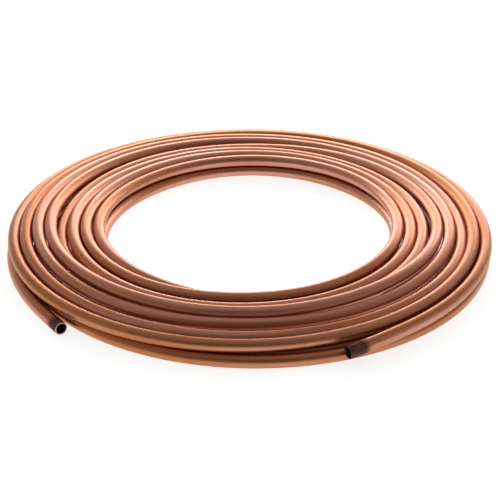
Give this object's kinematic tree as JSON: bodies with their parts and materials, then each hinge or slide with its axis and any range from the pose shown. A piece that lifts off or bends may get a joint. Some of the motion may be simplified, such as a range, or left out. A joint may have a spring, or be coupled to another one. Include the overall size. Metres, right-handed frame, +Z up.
{
  "type": "copper tube coil",
  "caption": "Soft copper tube wound into a flat layered coil with both free ends on the outside, lying flat; stock for water, gas or refrigerant lines.",
  "frame": {"origin": "centre of the lying coil's footprint, on the floor", "axes": "+Z up along the coil's axis, -Y towards the front, where both free ends are, +X to the right seen from the front"},
  "size_m": [0.3864, 0.3804, 0.0192],
  "materials": {
    "copper": "satin drawn copper with dark heat-stained ends"
  },
  "bodies": {
    "root": {"tube_coil": "copper"}
  },
  "joints": []
}
